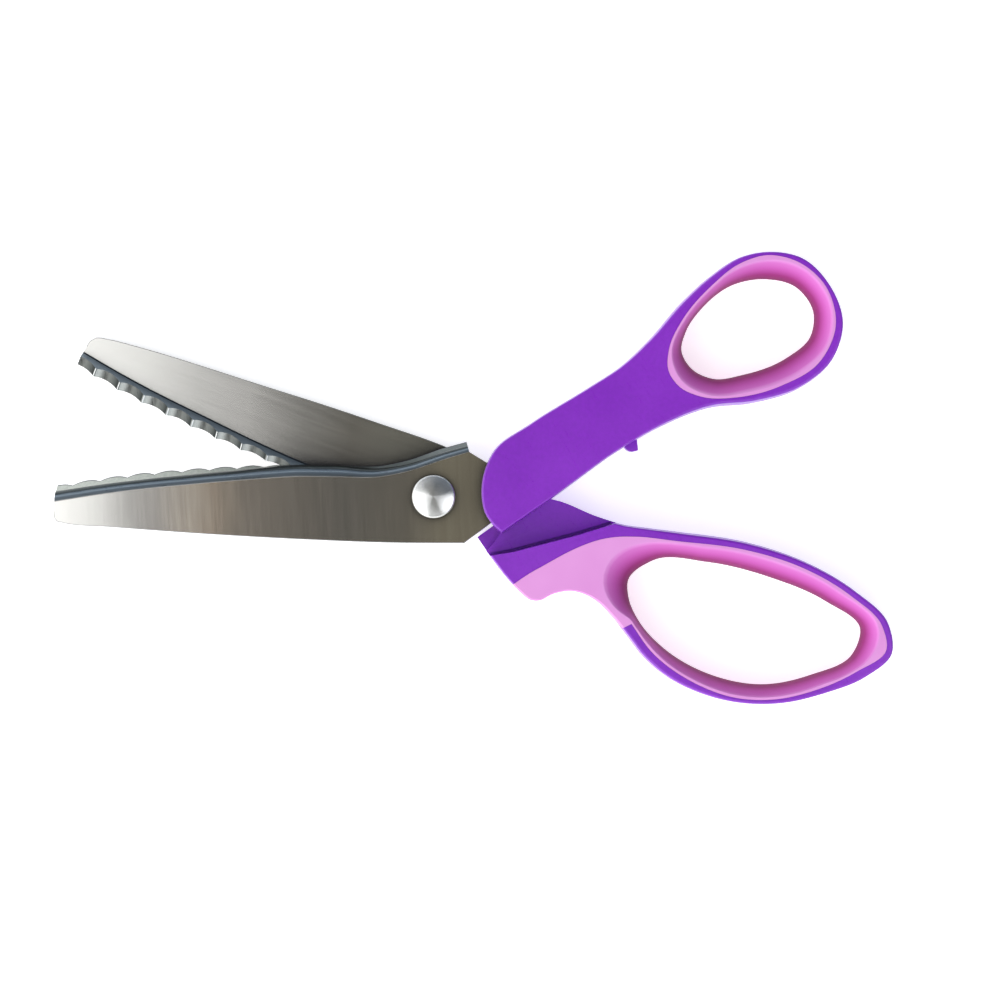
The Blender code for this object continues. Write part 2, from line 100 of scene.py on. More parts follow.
NUB = [
    (51.4, 16.5), (51.7, 13.6), (52.3, 12.85), (53.0, 12.4), (53.7, 12.2), (54.5, 12.3), (55.5, 12.6),
    (55.4, 13.6), (55.0, 17.0),
]
FINGER_OUTLINE = [
    (14.6, -6.3, 1), (20.2, -10.2), (27.8, -14.8), (31.5, -16.5), (34.6, -17.35), (37.2, -16.4),
    (39.2, -14.1), (41.1, -12.6), (44.0, -11.15), (47.6, -10.7), (51.7, -11.4), (56.1, -13.4), (62.3, -17.2),
    (68.0, -20.8), (76.0, -23.8), (86.9, -24.9), (98.2, -23.4), (108.6, -19.4), (118.0, -13.1), (126.8, -5.1),
    (131.4, 3.6), (127.5, 11.3), (116.0, 16.4), (101.0, 19.0), (84.0, 18.4), (65.9, 14.6), (57.9, 12.7),
    (50.5, 11.1), (43.6, 10.7), (31.3, 10.9), (25.5, 9.6), (22.6, 5.5), (17.1, -2.6),
]
FINGER_HOLE = [
    (57.6, -3.0), (59.2, -6.9), (64.8, -12.6), (72.2, -16.4), (87.7, -19.0), (101.6, -16.6), (113.5, -9.3),
    (121.9, -0.4), (121.6, 6.8), (110.0, 10.7), (94.0, 11.5), (76.0, 9.4), (62.0, 4.6),
]
FINGER_SEAM = [
    (26.2, -17.6, 1), (28.3, -14.8, 1), (31.6, -10.2), (35.0, -6.2), (38.4, -2.2), (42.0, 1.5), (45.7, 4.6),
    (49.7, 7.0), (54.7, 9.0), (65.6, 11.8), (84.0, 16.1), (101.0, 16.9), (115.0, 14.4), (125.6, 9.8),
    (129.0, 4.2), (123.5, -4.3), (114.9, -12.8), (105.5, -19.0), (94.9, -22.4), (83.1, -22.4), (69.9, -18.7),
    (62.1, -13.5, 1), (60.4, -15.3, 1), (59.5, -18.5, 1), (50.5, -14.5, 1), (44.0, -15.0, 1),
    (39.5, -20.0, 1), (34.0, -21.5, 1),
]
NOTCH = [
    (26.2, -17.6, 1), (28.3, -15.0, 1), (30.3, -12.0, 1), (33.6, -14.6), (36.2, -14.2), (38.6, -11.8),
    (43.0, -9.0), (49.0, -8.6), (55.0, -10.6), (59.8, -13.8, 1), (59.5, -18.5, 1), (50.5, -14.5, 1),
    (44.0, -15.0, 1), (39.5, -20.0, 1), (34.0, -21.5, 1),
]
THUMB_LAP = [(8, -20), (56, -20), (56, 11.6), (8, 11.6)]
FINGER_LAP = [
    (8, -17.5), (19.3, -9.9), (25.2, -6.35), (32.4, -1.3), (39.8, 3.9), (44.7, 7.5), (48.8, 10.6),
    (52.5, 13.2), (54, 22), (8, 22),
]
LAP_GROOVE = [
    (17.0, -11.3), (25.4, -6.5), (32.6, -1.45), (40.0, 3.75), (48.0, 9.9), (47.5, 10.6), (39.5, 4.5),
    (32.1, -0.7), (24.9, -5.8), (16.6, -10.7),
]
THUMB_LAP_FACE, FINGER_LAP_FACE = 7.7, 7.3  # heights where the halves pass each other
NUB_LOW, NUB_HIGH = 4.5, 10.5
GROOVE_FLOOR, SWEEP_FLOOR = 5.7, 4.5  # heights of the floors beside the lap and where the heel passes
HEEL_SWEEP = 20.6  # radius that the front blade's heel clears


# ---------------------------------------------------------------- outlines
def smooth(rows, step, closed=True):
    """Points about `step` apart on a curve through the rows' first two values; the rest follow linearly."""
    count = len(rows)
    flags = [len(row) == 3 and row[2] == 1 for row in rows]
    points = [Vector(row[:2]) for row in rows]
    out = []
    for i in range(count if closed else count - 1):
        j = (i + 1) % count
        span = (points[j] - points[i]).length

        def slope(k):
            before, after = (k - 1) % count, (k + 1) % count
            if flags[k] or (not closed and k in (0, count - 1)):
                return (points[j] - points[i]) / span
            back, ahead = points[k] - points[before], points[after] - points[k]
            lengths = back.length + ahead.length
            return (back / back.length * ahead.length + ahead / ahead.length * back.length) / lengths

        pieces = 1 if flags[i] and flags[j] else max(1, round(span / step))
        start, end = slope(i) * span, slope(j) * span
        for n in range(pieces):
            t = n / pieces
            place = (
                points[i] * (2 * t**3 - 3 * t**2 + 1) + start * (t**3 - 2 * t**2 + t)
                + points[j] * (3 * t**2 - 2 * t**3) + end * (t**3 - t**2)
            )
            rest = [a + (b - a) * t for a, b in zip(rows[i][2:], rows[j][2:])]
            out.append((place.x, place.y, *rest[: len(rows[0]) - 2]))
    if not closed:
        out.append(tuple(rows[-1]))
    return out


def ring(rows, step):
    return [Vector(p[:2]) for p in smooth(rows, step)]


def normals(loop, closed=True):
    """Outward normal at each point of a loop, stretched at corners so that an offset keeps its width."""
    turn = 1 if sum(a.x * b.y - b.x * a.y for a, b in zip(loop, loop[1:] + loop[:1])) > 0 else -1
    out = []
    for i, here in enumerate(loop):
        before = loop[i - 1] if closed or i else here * 2 - loop[1]
        after = loop[(i + 1) % len(loop)] if closed or i < len(loop) - 1 else here * 2 - loop[-2]
        a, b = (here - before).normalized(), (after - here).normalized()
        normal = (Vector((a.y, -a.x)) + Vector((b.y, -b.x))).normalized()
        out.append(normal * turn / max(0.5, normal.dot(Vector((a.y, -a.x)))))
    return out


def offset(loop, distance):
    return [p + n * distance for p, n in zip(loop, normals(loop))]


# ---------------------------------------------------------------- meshes
def mesh_of(name, points, faces, slots=None, **values):
    mesh = bpy.data.meshes.new(name)
    mesh.from_pydata([Vector(p) * MM for p in points], [], faces)
    if slots:
        mesh.polygons.foreach_set("material_index", slots)
    for label, numbers in values.items():
        mesh.attributes.new(label, "FLOAT", "POINT").data.foreach_set("value", numbers)
    tidy = bmesh.new()
    tidy.from_mesh(mesh)
    bmesh.ops.recalc_face_normals(tidy, faces=tidy.faces)
    tidy.to_mesh(mesh)
    tidy.free()
    return mesh


def stack_faces(count, levels):
    """Faces of a stack of rings of `count` points each, closed at both ends."""
    last = count * (levels - 1)
    faces = [list(range(count)), list(range(last, last + count))]
    for low in range(0, last, count):
        for i in range(count):
            j = (i + 1) % count
            faces.append((low + i, low + j, low + count + j, low + count + i))
    return faces


def loft(name, levels):
    """Solid through rings of equal count, each given as its points and its height."""
    points = [(p.x, p.y, z) for loop, z in levels for p in loop]
    return mesh_of(name, points, stack_faces(len(levels[0][0]), len(levels)))


def plate(name, outline, low, high, hole=None):
    """Flat plate between two heights, with an optional hole."""
    curve = bpy.data.curves.new(name, "CURVE")
    curve.dimensions = "2D"
    curve.fill_mode = "BOTH"
    curve.extrude = (high - low) / 2 * MM
    for loop in filter(None, (outline, hole)):
        spline = curve.splines.new("POLY")
        spline.points.add(len(loop) - 1)
        spline.use_cyclic_u = True
        for point, place in zip(spline.points, loop):
            point.co = (place[0] * MM, place[1] * MM, 0, 1)
    guide = bpy.data.objects.new(name, curve)
    mesh = bpy.data.meshes.new_from_object(guide)
    bpy.data.objects.remove(guide)
    tidy = bmesh.new()
    tidy.from_mesh(mesh)
    bmesh.ops.remove_doubles(tidy, verts=tidy.verts, dist=1e-7)
    bmesh.ops.translate(tidy, verts=tidy.verts, vec=(0, 0, (high + low) / 2 * MM))
    bmesh.ops.recalc_face_normals(tidy, faces=tidy.faces)
    tidy.to_mesh(mesh)
    tidy.free()
    return mesh


def circle(radius, count=96):
    turns = [2 * math.pi * (i + 0.5) / count for i in range(count)]
    return [Vector((radius * math.cos(t), radius * math.sin(t))) for t in turns]


def carved(name, mesh, steps):
    """The mesh after Booleans with other meshes."""
    helpers = [bpy.data.objects.new(name, mesh)]
    for cutter, operation in steps:
        helpers.append(bpy.data.objects.new(f"{name}_cutter", cutter))
        modifier = helpers[0].modifiers.new(cutter.name, "BOOLEAN")
        modifier.operation, modifier.solver, modifier.object = operation, "EXACT", helpers[-1]
    for helper in helpers:
        bpy.context.scene.collection.objects.link(helper)
    graph = bpy.context.evaluated_depsgraph_get()
    made = bpy.data.meshes.new_from_object(helpers[0].evaluated_get(graph))
    for helper in helpers:
        bpy.data.objects.remove(helper)
    made.name = name
    return made


def piece(name, mesh, materials, body, node, smooth_angle=35, flats=False):
    """Adds a finished piece in place of a CAD node; the finger half's pieces are turned to the open pose."""
    mesh.shade_smooth()
    mesh.set_sharp_from_angle(angle=math.radians(smooth_angle))
    if flats:
        for face in mesh.polygons:
            face.use_smooth = abs(face.normal.z) < 0.9999
    for mat in materials:
        mesh.materials.append(mat)
    obj = bpy.data.objects.new(name, mesh)
    bpy.context.scene.collection.objects.link(obj)
    if body == "finger_half":
        mesh.transform(Matrix.Rotation(math.radians(-OPEN_DEG), 4, "Z"))
    flat = obj.modifiers.new("flat_faces_flat", "WEIGHTED_NORMAL")
    flat.keep_sharp = True
    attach(obj, body)
    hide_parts(node)
    return obj


# ---------------------------------------------------------------- materials
class Nodes:
    """Short ways to make the nodes of one tree."""

    def __init__(self, tree):
        self.tree = tree

    def new(self, kind, **settings):
        node = self.tree.nodes.new(f"ShaderNode{kind}")
        for key, value in settings.items():
            setattr(node, key, value)
        return node

    def link(self, source, target):
        self.tree.links.new(source, target)

    def feed(self, socket, value):
        """Links another node's output to a socket, or sets the socket to a number or a colour."""
        if hasattr(value, "is_linked"):
            self.link(value, socket)
        else:
            socket.default_value = (*value, 1) if isinstance(value, tuple) else value

    def ramp(self, value, *stops):
        """Colours or levels at positions along a value."""
        node = self.new("ValToRGB")
        ramp = node.color_ramp
        while len(ramp.elements) < len(stops):
            ramp.elements.new(0.5)
        for element, (position, colour) in zip(ramp.elements, stops):
            element.position = position
            element.color = (*colour, 1) if isinstance(colour, tuple) else (colour, colour, colour, 1)
        self.link(value, node.inputs["Fac"])
        return node.outputs["Color"]

    def mix(self, share, a, b, kind="MIX"):
        node = self.new("Mix", data_type="RGBA", blend_type=kind)
        for socket, value in ((node.inputs["Factor"], share), (node.inputs[6], a), (node.inputs[7], b)):
            self.feed(socket, value)
        return node.outputs[2]

    def math(self, operation, a, b=0.0):
        node = self.new("Math", operation=operation)
        for socket, value in zip(node.inputs, (a, b)):
            self.feed(socket, value)
        return node.outputs["Value"]


class Material(Nodes):
    """A material's own tree, with the ways to place things on the piece."""

    def __init__(self, name, **sockets):
        self.material = bpy.data.materials.new(name)
        self.material.use_nodes = True
        super().__init__(self.material.node_tree)
        self.shader = self.tree.nodes["Principled BSDF"]
        for socket, value in sockets.items():
            self.shader.inputs[socket.replace("_", " ")].default_value = value
        self.place = self.new("TexCoord").outputs["Object"]

    def mapped(self, scale, turn=0.0):
        """The piece's own coordinates in millimetres, scaled along each axis."""
        node = self.new("Mapping", vector_type="TEXTURE")
        node.inputs["Scale"].default_value = [MM / s for s in scale]
        node.inputs["Rotation"].default_value = (0, 0, math.radians(turn))
        self.link(self.place, node.inputs["Vector"])
        return node.outputs["Vector"]

    def noise(self, scale, detail=3.0, rough=0.5, turn=0.0):
        node = self.new("TexNoise")
        node.inputs["Scale"].default_value = 1.0
        node.inputs["Detail"].default_value = detail
        node.inputs["Roughness"].default_value = rough
        self.link(self.mapped(scale, turn), node.inputs["Vector"])
        return node.outputs["Fac"]

    def radius(self):
        """Distance from the pivot axis, in metres."""
        flat = self.new("VectorMath", operation="MULTIPLY")
        length = self.new("VectorMath", operation="LENGTH")
        self.link(self.place, flat.inputs[0])
        flat.inputs[1].default_value = (1, 1, 0)
        self.link(flat.outputs["Vector"], length.inputs[0])
        return length.outputs["Value"]

    def attribute(self, name):
        return self.new("Attribute", attribute_name=name).outputs["Fac"]

    def axis(self, letter):
        """The piece's own coordinate along one axis, in metres."""
        split = self.new("SeparateXYZ")
        self.link(self.place, split.inputs[0])
        return split.outputs[letter]

    def set(self, socket, source):
        self.link(source, self.shader.inputs[socket])

    def bumps(self, *layers):
        """Raises the surface by each layer's height times its distance in millimetres."""
        below = None
        for height, distance in layers:
            node = self.new("Bump")
            node.inputs["Distance"].default_value = distance * MM
            self.link(height, node.inputs["Height"])
            if below:
                self.link(below, node.inputs["Normal"])
            below = node.outputs["Normal"]
        self.set("Normal", below)


REFLECTION_FROM, REFLECTION_TO = -104.0, 20.0  # stretch of a blade along which its painted reflection runs from bright to dark
CORNER_SHADE = ((0.45, 0.9), (0.95, 0.0))  # painted shade by how open a place is, 0 closed in and 1 open
HEAD_SHADOW_RING = ((0.595, 0.85), (0.64, 0.0))  # painted shadow ring round the screw head, by radius in centimetres
# Reach of the painted shade in millimetres, and its near-black colour.
SHADE_REACH, SHADE_COLOUR = 10.0, (0.05, 0.05, 0.055)


def brushed_sheet(name, lean, rough, reflection_tones, tilt=0.0, painted_shade=CORNER_SHADE):
    """Flat faces of a blade: fine grind lines, a painted reflection with the steel's warm tint that runs from
    a bright tip to a darker heel, painted shade in closed-in places and round the screw head, and a slight
    bow of the sheet.
    """
    m = Material(name, Metallic=1.0)
    fine = m.noise((1.15, 0.05, 1.0), detail=2, rough=0.6, turn=lean)
    long = m.noise((0.35, 0.02, 1.0), detail=1, turn=lean)
    cloud = m.noise((0.035, 0.06, 0.03), detail=1)
    lines = m.mix(0.4, fine, long)
    along = m.axis("X")
    share = m.new("MapRange")
    m.link(along, share.inputs["Value"])
    share.inputs["From Min"].default_value = REFLECTION_FROM * MM
    share.inputs["From Max"].default_value = REFLECTION_TO * MM
    # Painted reflection: the tone along the blade stands in for the bright and dark room mirrored in the
    # steel.
    stops = [((x - REFLECTION_FROM) / (REFLECTION_TO - REFLECTION_FROM), colour) for x, colour in reflection_tones]
    drift = m.math("MULTIPLY", m.math("SUBTRACT", cloud, 0.5), 0.06)
    tone = m.ramp(m.math("ADD", share.outputs["Result"], drift), *stops)
    tone = m.mix(0.17, tone, m.ramp(lines, (0.3, 0.34), (0.7, 0.68)), "OVERLAY")
    # Painted shade where other parts close the sheet in, and a painted shadow ring round the screw head.
    near = m.new("AmbientOcclusion", samples=8)
    near.inputs["Distance"].default_value = SHADE_REACH * MM
    head_shadow = m.ramp(m.math("DIVIDE", m.radius(), 10 * MM), *HEAD_SHADOW_RING)
    m.set("Base Color", m.mix(m.math("MAXIMUM", m.ramp(near.outputs["AO"], *painted_shade), head_shadow), tone, SHADE_COLOUR))
    m.set("Roughness", m.ramp(lines, (0.3, rough - 0.012), (0.7, rough + 0.018)))
    bow = m.math("MULTIPLY", along, math.tan(math.radians(tilt)) / MM)
    m.bumps((lines, 0.0002), (bow, 1.0))
    return m.material


def folded_steel(name):
    """Outside of the fold, with painted reflection by how far it has turned: a blue-grey band and a painted
    highlight where it starts to turn, painted dark reflection as it gets steep.
    """
    m = Material(name, Metallic=1.0)
    streak = m.noise((0.12, 2.5, 2.5), detail=2)
    # Painted reflection and painted highlight, by how far the fold has turned.
    tone = m.ramp(
        m.attribute("turn"), (0.0, (0.45, 0.43, 0.41)), (0.06, (0.17, 0.20, 0.23)),
        (0.23, (0.15, 0.18, 0.21)), (0.30, (0.25, 0.30, 0.34)), (0.40, (0.22, 0.26, 0.30)),
        (0.47, (0.05, 0.06, 0.065)), (1.0, (0.035, 0.045, 0.045)),
    )
    m.set("Base Color", m.mix(0.15, tone, m.ramp(streak, (0.3, 0.35), (0.7, 0.7)), "OVERLAY"))
    m.set("Roughness", m.ramp(streak, (0.3, 0.26), (0.7, 0.34)))
    m.bumps((streak, 0.001))
    return m.material


def ground_steel(name, light, dark, grain, rough=0.42):
    """Machine-ground faces, such as the slope inside the fold and the cut rim of the sheet."""
    m = Material(name, Metallic=1.0)
    lines = m.noise(grain, detail=3, rough=0.6)
    blotch = m.noise((0.3, 0.3, 0.3), detail=2)
    m.set("Base Color", m.mix(m.math("MULTIPLY", blotch, 0.6), m.mix(lines, dark, light), light))
    m.set("Roughness", m.ramp(lines, (0.3, rough - 0.05), (0.7, rough + 0.07)))
    m.bumps((lines, 0.003))
    return m.material


def ledge_steel(name):
    """Ledge ground beside the teeth: mottled grey, darker at the heel and along its outer edge."""
    m = Material(name, Metallic=1.0)
    mottle = m.noise((1.1, 1.1, 1.1), detail=3, rough=0.7)
    tone = m.ramp(mottle, (0.3, (0.38, 0.41, 0.38)), (0.7, (0.56, 0.58, 0.54)))
    tone = m.mix(m.attribute("heel"), tone, (0.15, 0.17, 0.17))
    outer_edge_dark = m.ramp(m.math("SUBTRACT", m.attribute("turn"), 1.0), (0.0, 0.0), (0.80, 0.0), (0.90, 1.0))
    m.set("Base Color", m.mix(outer_edge_dark, tone, (0.13, 0.14, 0.15)))
    m.set("Roughness", m.ramp(mottle, (0.3, 0.42), (0.7, 0.56)))
    m.bumps((mottle, 0.006))
    return m.material


def tooth_steel(name, light, dark, shade):
    """Scalloped shear face: ground across, with painted shade on the heel side of each scallop and painted
    highlights along the cusps.
    """
    m = Material(name, Metallic=1.0)
    phase = m.attribute("phase")
    lines = m.noise((2.2, 0.35, 2.2), detail=4, rough=0.7, turn=10)
    # Painted highlight along each cusp.
    cusp_highlight = m.math("ADD", m.ramp(phase, (0.015, 1.0), (0.05, 0.0)), m.ramp(phase, (0.95, 0.0), (0.985, 1.0)))
    # Painted shade over the heel side of each scallop.
    tone = m.mix(m.ramp(phase, (0.06, 1.0), (0.38, 0.55), (0.60, 0.0)), m.mix(lines, dark, light), shade)
    m.set("Base Color", m.mix(cusp_highlight, tone, (0.90, 0.92, 0.92)))
    m.set("Roughness", m.mix(cusp_highlight, m.ramp(lines, (0.3, 0.26), (0.7, 0.40)), (0.5, 0.5, 0.5)))
    m.bumps((lines, 0.004))
    return m.material


def hard_plastic(name):
    """Hard handle moulding: saturated, satin, with a faint spark-eroded texture and rubbed edges."""
    m = Material(name, Specular_IOR_Level=0.45, Coat_Weight=0.14, Coat_Roughness=0.22)
    grain = m.noise((5.0, 5.0, 5.0), detail=2)
    mottle = m.noise((0.8, 0.8, 0.8), detail=3, rough=0.7)
    cloud = m.noise((0.06, 0.06, 0.06), detail=2)
    scuff = m.noise((0.9, 0.12, 0.4), detail=5, rough=0.65, turn=35)
    tone = m.ramp(cloud, (0.3, (0.225, 0.015, 0.53)), (0.7, (0.255, 0.022, 0.58)))
    tone = m.mix(0.14, tone, m.ramp(mottle, (0.35, 0.30), (0.65, 0.70)), "OVERLAY")
    worn = m.ramp(m.new("NewGeometry").outputs["Pointiness"], (0.52, 0.0), (0.60, 1.0))
    m.set("Base Color", m.mix(m.math("MULTIPLY", worn, 0.25), tone, (0.36, 0.08, 0.68)))
    satin, rubbed = m.ramp(grain, (0.3, 0.26), (0.7, 0.34)), m.ramp(scuff, (0.35, 0.26), (0.75, 0.40))
    m.set("Roughness", m.mix(0.5, satin, rubbed))
    m.bumps((grain, 0.003))
    return m.material


def soft_pad(name, hole, turn=0.0):
    """Soft-touch elastomer: matt and finely textured, with painted shade, deeper and redder, on the walls of
    the finger hole.
    """
    m = Material(name, Specular_IOR_Level=0.2, Sheen_Weight=0.05, Sheen_Roughness=0.5)
    grain = m.noise((7.0, 7.0, 7.0), detail=3, rough=0.6)
    cloud = m.noise((0.05, 0.05, 0.05), detail=2)
    tone = m.ramp(cloud, (0.3, (0.79, 0.31, 0.745)), (0.7, (0.845, 0.36, 0.80)))
    tone = m.mix(0.06, tone, m.ramp(grain, (0.3, 0.3), (0.7, 0.7)), "OVERLAY")
    depth = m.math("ABSOLUTE", m.math("SUBTRACT", m.math("DIVIDE", m.axis("Z"), MID * MM), 1.0))
    centre = sum((Vector(row) for row in hole), Vector((0, 0))) / len(hole)
    reach = max((Vector(row) - centre).length for row in hole) + ROLL_MOST
    centre.rotate(Matrix.Rotation(math.radians(turn), 2))
    inward, away = m.new("VectorMath", operation="SUBTRACT"), m.new("VectorMath", operation="LENGTH")
    facing = m.new("VectorMath", operation="DOT_PRODUCT")
    inward.inputs[0].default_value = (*centre * MM, MID * MM)
    m.link(m.place, inward.inputs[1])
    m.link(m.new("TexCoord").outputs["Normal"], facing.inputs[0])
    m.link(inward.outputs["Vector"], facing.inputs[1])
    m.link(inward.outputs["Vector"], away.inputs[0])
    round_hole = m.ramp(m.math("DIVIDE", away.outputs["Value"], reach * MM), (0.97, 1.0), (1.0, 0.0))
    wall = m.ramp(m.math("DIVIDE", facing.outputs["Value"], 20 * MM), (0.02, 0.0), (0.25, 1.0))
    wall = m.math("MULTIPLY", wall, round_hole)
    wall = m.math("MULTIPLY", wall, m.ramp(depth, (0.5, 1.0), (0.93, 0.9), (1.0, 0.25)))
    # Painted shade on the walls of the hole, by depth below the faces and by facing in towards the hole.
    hole_shade = m.ramp(
        depth, (0.0, (0.19, 0.010, 0.085)), (0.45, (0.36, 0.03, 0.22)), (0.75, (0.60, 0.10, 0.49)),
        (1.0, (0.74, 0.19, 0.66)),
    )
    m.set("Base Color", m.mix(wall, tone, hole_shade))
    m.set("Roughness", m.ramp(grain, (0.3, 0.55), (0.7, 0.7)))
    m.bumps((grain, 0.004))
    return m.material


def turned_steel(name, colour, rings_per_mm, rough, aniso=0.0):
    """Lathe-turned steel with fine rings about the pivot axis."""
    m = Material(name, Metallic=1.0, Anisotropic=aniso, Anisotropic_Rotation=0.25)
    line = m.new("TexNoise", noise_dimensions="1D")
    line.inputs["Scale"].default_value = rings_per_mm / MM
    line.inputs["Detail"].default_value = 3
    m.link(m.radius(), line.inputs["W"])
    blotch = m.noise((0.6, 0.6, 0.6), detail=4, rough=0.6)
    darker = tuple(c * 0.75 for c in colour)
    m.set("Base Color", m.mix(m.ramp(blotch, (0.4, 0.0), (0.75, 0.6)), colour, darker))
    m.set("Roughness", m.ramp(line.outputs["Fac"], (0.3, rough - 0.02), (0.7, rough + 0.03)))
    m.bumps((line.outputs["Fac"], 0.00005))
    if aniso:
        tangent = m.new("Tangent", direction_type="RADIAL", axis="Z")
        m.set("Tangent", tangent.outputs["Tangent"])
    return m.material


def plain_nylon(name):
    m = Material(name, Roughness=0.5)
    cloud = m.noise((0.8, 0.8, 0.8), detail=4)
    m.set("Base Color", m.ramp(cloud, (0.3, (0.72, 0.70, 0.64)), (0.7, (0.84, 0.83, 0.79))))
    m.set("Roughness", m.ramp(cloud, (0.3, 0.45), (0.7, 0.6)))
    m.bumps((cloud, 0.01))
    return m.material


# ---------------------------------------------------------------- blades
def scallop(radius):
    """Height of the shear line at a distance from the pivot: arcs that dip between cusps."""
    if radius < LAST_CUSP:
        return DEPTH / 2 * max(0.0, 1 - (LAST_CUSP - radius) / RUN_OUT)
    curve = ((PITCH / 2) ** 2 + DEPTH**2) / (2 * DEPTH)
    across = (radius - LAST_CUSP) % PITCH - PITCH / 2
    return DEPTH / 2 - math.sqrt(curve**2 - across**2) + curve - DEPTH


def stations(edge):
    """Places along the bend line: foot, radius about the pivot or None, direction, ledge and bend radius."""
    line = smooth(edge, 0.5, closed=False)
    front = [row for row in line if row[0] < -20]
    wanted = [LAST_CUSP + PITCH * i / TOOTH_STEPS for i in range(SCALLOPS * TOOTH_STEPS)]
    tip = Vector(front[0][:2]).length
    wanted = [tip, *(r for r in reversed(wanted) if r < tip - 0.2)]
    wanted += [LAST_CUSP - RUN_OUT / 2, LAST_CUSP - RUN_OUT]
    out = []
    for radius in wanted:
        for a, b in zip(front, front[1:]):
            near, far = Vector(b[:2]).length, Vector(a[:2]).length
            if near <= radius <= far:
                t = (far - radius) / (far - near)
                x, y, ledge, bend = (p + (q - p) * t for p, q in zip(a, b))
                out.append((Vector((x, y)), radius, None, ledge, bend))
                break
    heel = [row for row in line if row[0] > 3.2 - LAST_CUSP][::2]
    if heel[-1] != line[-1]:
        heel.append(line[-1])
    for i, (x, y, ledge, bend) in enumerate(heel):
        a, b = heel[max(i - 1, 0)], heel[min(i + 1, len(heel) - 1)]
        along = Vector((b[0] - a[0], b[1] - a[1])).normalized()
        out.append((Vector((x, y)), None, Vector((-along.y, along.x)), ledge, bend))
    return out


ARC_STEPS = 8
SLOPE_LEAN, CORNER_REACH, CORNER_DEEP = 0.85, 0.15, 0.4  # inner slope, and its crease against the sheet
FOLD, LEDGE, SHEAR, SLOPE, CREASE, RIM = 1, 2, 3, 4, 5, 6


def section(ledge, bend, lift):
    """Folded edge from the sheet's outer face round to its inner face: (reach, height, how far turned)."""
    shear = MID + SHEAR_GAP / 2
    crease = shear + max(ledge * LEDGE_SLOPE, DEPTH / 2 + 0.2)
    turn = math.acos(max(0.0, 1 - (OUTER - crease) / bend))
    wall = OUTER - bend * (1 - math.cos(turn)) - crease > 0.05
    steps = ARC_STEPS if wall else ARC_STEPS + 1
    arc = [turn * i / steps for i in range(steps + 1)]
    points = [(bend * math.sin(t), OUTER - bend * (1 - math.cos(t)), t / (math.pi / 2)) for t in arc]
    reach = points[-1][0]
    if wall:
        points.append((reach, crease, 1.0))
    end = shear + lift
    points.append((reach + ledge * (crease - end) / (crease - shear), end, 2.0))
    points.append((CORNER_REACH + SLOPE_LEAN * (INNER - end), end, 1.0))
    points.append((CORNER_REACH + SLOPE_LEAN * CORNER_DEEP, INNER - CORNER_DEEP, 0.5))
    points.append((CORNER_REACH - 0.1, INNER, 0.0))
    return points


SECTION_SLOTS = [FOLD] * ARC_STEPS + [FOLD, LEDGE, SHEAR, SLOPE, CREASE]
BEVEL = 0.18  # along the cut rim of the sheet
RIM_ROWS = ((BEVEL, 0.0), (0.0, BEVEL), (0.0, SHEET - BEVEL), (BEVEL, SHEET))


def blade(name, node, body, edge, sheet, sign, flipped, materials):
    """Stamped blade: a flat sheet whose cutting side is folded over and ends in a scalloped shear face."""
    points, turns, phases, heels, rows, faces, slots = [], [], [], [], [], [], []
    for foot, radius, direction, ledge, bend in stations(edge):
        lift = sign * scallop(radius if radius else foot.length)
        phase = (radius - LAST_CUSP) % PITCH / PITCH if radius and radius >= LAST_CUSP else 0.5
        row = []
        for reach, height, turn in section(ledge, bend, lift):
            if radius:
                angle = math.atan2(foot.y, foot.x) - reach / radius
                place = Vector((radius * math.cos(angle), radius * math.sin(angle)))
            else:
                place = foot + direction * reach
            row.append(len(points))
            points.append((place.x, place.y, height))
            turns.append(turn)
            phases.append(phase)
            heels.append(0.0 if radius else 1.0)
        rows.append(row)
    for a, b in zip(rows, rows[1:]):
        faces += [(a[i], a[i + 1], b[i + 1], b[i]) for i in range(len(a) - 1)]
        slots += SECTION_SLOTS
    path = [Vector(p[:2]) for p in smooth([(*edge[-1][:2], 1), *sheet, (*edge[0][:2], 1)], 2.0, closed=False)]
    outward = normals(path, closed=False)
    lines = []
    for inset, drop in RIM_ROWS:
        line = []
        for p, n in list(zip(path, outward))[1:-1]:
            line.append(len(points))
            points.append((p.x - n.x * inset, p.y - n.y * inset, OUTER - drop))
            turns.append(0.0)
            phases.append(0.5)
            heels.append(1.0)
        lines.append(line)
    for a, b in zip(lines, lines[1:]):
        faces += [(a[i], a[i + 1], b[i + 1], b[i]) for i in range(len(a) - 1)]
        slots += [RIM] * (len(a) - 1)
    for end, side in ((0, -1), (-1, 0)):
        faces.append(rows[end])
        faces.append([rows[end][0], *(line[side] for line in lines), rows[end][-1]])
        slots += [RIM, RIM]
    faces.append([row[0] for row in rows] + lines[0])
    faces.append([row[-1] for row in rows] + lines[-1])
    slots += [0, 0]
    if flipped:
        points = [(x, -y, THICK - z) for x, y, z in points]
    mesh = mesh_of(name, points, faces, slots, turn=turns, phase=phases, heel=heels)
    for mat in materials:
        mesh.materials.append(mat)
    mesh = carved(name, mesh, [(plate("bore", circle(BORE), -2, THICK + 2), "DIFFERENCE")])
    return piece(name, mesh, [], body, node, smooth_angle=28)


fold, ledge = folded_steel("fold_steel"), ledge_steel("ledge_steel")
# Crease facet painted near-black: painted shade in the crease against the sheet.
crease = ground_steel("crease_shade_steel", (0.06, 0.07, 0.08), (0.03, 0.035, 0.04), (0.5, 3, 3))
rim = ground_steel("rim_steel", (0.30, 0.30, 0.30), (0.20, 0.20, 0.20), (0.4, 0.4, 5))
